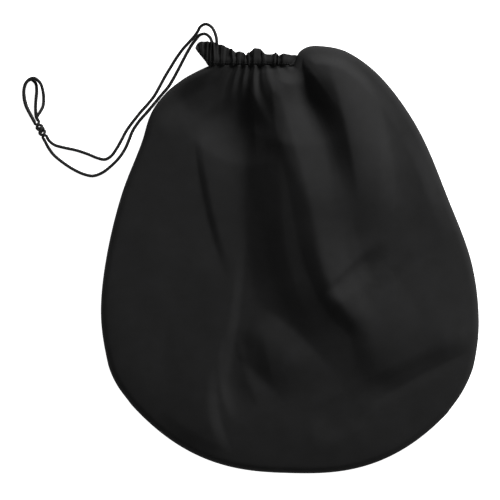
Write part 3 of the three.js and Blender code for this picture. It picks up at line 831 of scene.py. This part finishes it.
def make_stitches(rings, material):
    """The row of stitching that joins the hem to the front, as short raised threads."""
    line = np.array([ring[STITCH_LEVEL] for ring in rings])
    out = np.array([ring[STITCH_LEVEL] - ring[-1 - STITCH_LEVEL] for ring in rings])
    out /= np.linalg.norm(out, axis=1)[:, None]
    travelled = lengths_along(line)
    arch = np.array(STITCH_ARCH) * STITCH_RADIUS
    span = np.linspace(*STITCH_SPAN, len(arch))
    angle = np.arange(STITCH_SIDES) * 2 * math.pi / STITCH_SIDES
    tubes = []
    for k in range(int(travelled[-1] / STITCH_PITCH)):
        stops = (k + span) * STITCH_PITCH
        path = columns_at(stops, travelled, line) + columns_at(stops, travelled, out) * arch[:, None]
        tube = path[:, None, :] + STITCH_RADIUS * around_path(path, angle)
        tubes.append((tube.reshape(-1, 3), ring_faces(len(path), STITCH_SIDES)))
    points, faces = joined(tubes)
    return new_object("hem_stitches", points, faces, material)


def make_cord(name, material):
    """One free run of the cord, with its path and its length."""
    path = catmull_rom(np.array(CORD_ROUTES_MM[name]) / 1000, CORD_STEP)
    points, faces = braided_tube(path, CORD_RADIUS, CORD_SIDES)
    piece = new_object(name.replace("drawcord", "cord"), points, faces, material)
    length = float(np.linalg.norm(np.diff(path, axis=0), axis=1).sum())
    return piece, path, length


def make_knot(material):
    """An overhand knot: the doubled cord wound round itself, with a pass across the turns."""
    low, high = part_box("drawcord_knot")
    centre = (np.array(low) + np.array(high)) / 2
    along = np.array([math.cos(KNOT_HEADING), math.sin(KNOT_HEADING), 0])
    side = np.array([-along[1], along[0], 0])
    up = np.array([0, 0, 1.0])

    def wound(place, r, angle):
        return (centre + np.outer(place * KNOT_HALF, along)
                + np.outer(r * np.cos(angle), side) + np.outer(r * np.sin(angle), up))

    strands = []
    for start in (0.0, math.pi):
        t = np.linspace(0, 1, 90)
        grow = np.sin(math.pi * np.clip(t, KNOT_END_TRIM, 1 - KNOT_END_TRIM)) ** KNOT_BLUNTNESS
        r = KNOT_WINDING * (1 - KNOT_NARROWING * (1 - grow))
        strands.append(wound(2 * t - 1, r, start + t * 2 * math.pi * KNOT_TURNS))
    t = np.linspace(0, 1, 60)
    place = KNOT_PASS_START - KNOT_PASS_SPAN * t
    strands.append(wound(place, KNOT_WINDING, KNOT_PASS_ANGLE + t * 2 * math.pi * KNOT_PASS_TURNS))
    radius = CORD_RADIUS * KNOT_CORD_SHARE
    points, faces = joined(braided_tube(catmull_rom(path, KNOT_STEP), radius, KNOT_CORD_SIDES)
                           for path in strands)
    points = np.array(points)
    points[:, 2] = np.maximum(points[:, 2], KNOT_FLOOR)
    return new_object("cord_knot", points, faces, material)


def add_floor():
    mesh = bpy.data.meshes.new("table_top")
    corners = [(-1, -1), (1, -1), (1, 1), (-1, 1)]
    mesh.from_pydata([(x * TABLE_REACH, y * TABLE_REACH, TABLE_LEVEL) for x, y in corners], [],
                     [(0, 1, 2, 3)])
    mesh.materials.append(floor_material())
    floor = bpy.data.objects.new("table_top", mesh)
    bpy.context.scene.collection.objects.link(floor)


def add_lights():
    """One large soft light, low from the upper right, and an even pale surrounding."""
    world = bpy.data.worlds.new("studio")
    world.use_nodes = True
    background = world.node_tree.nodes["Background"]
    background.inputs["Color"].default_value = (1, 1, 1, 1)
    background.inputs["Strength"].default_value = 0.33
    bpy.context.scene.world = world
    place = KEY_AWAY * Vector((math.cos(KEY_ELEVATION) * math.cos(KEY_AZIMUTH),
                               math.cos(KEY_ELEVATION) * math.sin(KEY_AZIMUTH),
                               math.sin(KEY_ELEVATION)))
    data = bpy.data.lights.new("key", "AREA")
    data.size = KEY_SIZE
    data.energy = KEY_POWER
    light = bpy.data.objects.new("key", data)
    light.location = place
    light.rotation_euler = (-place).to_track_quat("-Z", "Y").to_euler()
    bpy.context.scene.collection.objects.link(light)


bpy.context.scene.view_settings.view_transform = "Standard"
add_camera()
add_floor()
add_lights()

bag_cloth = cloth_material("bag_knit", BAG_DARK, BAG_LIGHT)
# The hem's material is the bag's cloth made darker, as painted shade of the gathers' folds.
hem_cloth_painted_shade = cloth_material("hem_knit_painted_shade", HEM_PAINTED_SHADE_DARK, HEM_PAINTED_SHADE_LIGHT)
cord_yarn = cord_material("cord_braid", CORD_TONE)

cords = {}
for route_name in CORD_ROUTES_MM:
    cords[route_name] = make_cord(route_name, cord_yarn)
knot = make_knot(cord_yarn)
for route_name, (piece, path, length) in cords.items():
    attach(piece, "root")
    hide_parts(route_name)
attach(knot, "root")
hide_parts("drawcord_knot")

front = sheet_piece("front_cloth", front_height, FRONT_GRID, bag_cloth, False)
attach(front, "root")
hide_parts("front_panel")

back = sheet_piece("back_cloth", back_height, BACK_GRID, bag_cloth, True)
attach(back, "root")
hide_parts("back_panel")

# The hem carries the darker material, which paints the shade of its gathers.
casing, upper_rings = make_casing(hem_cloth_painted_shade)
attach(casing, "root")
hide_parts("casing")

stitches = make_stitches(upper_rings, cord_yarn)
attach(stitches, "root")

inner_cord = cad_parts["drawcord_in_casing"]
inner_cord.data.materials.clear()
inner_cord.data.materials.append(cord_yarn)
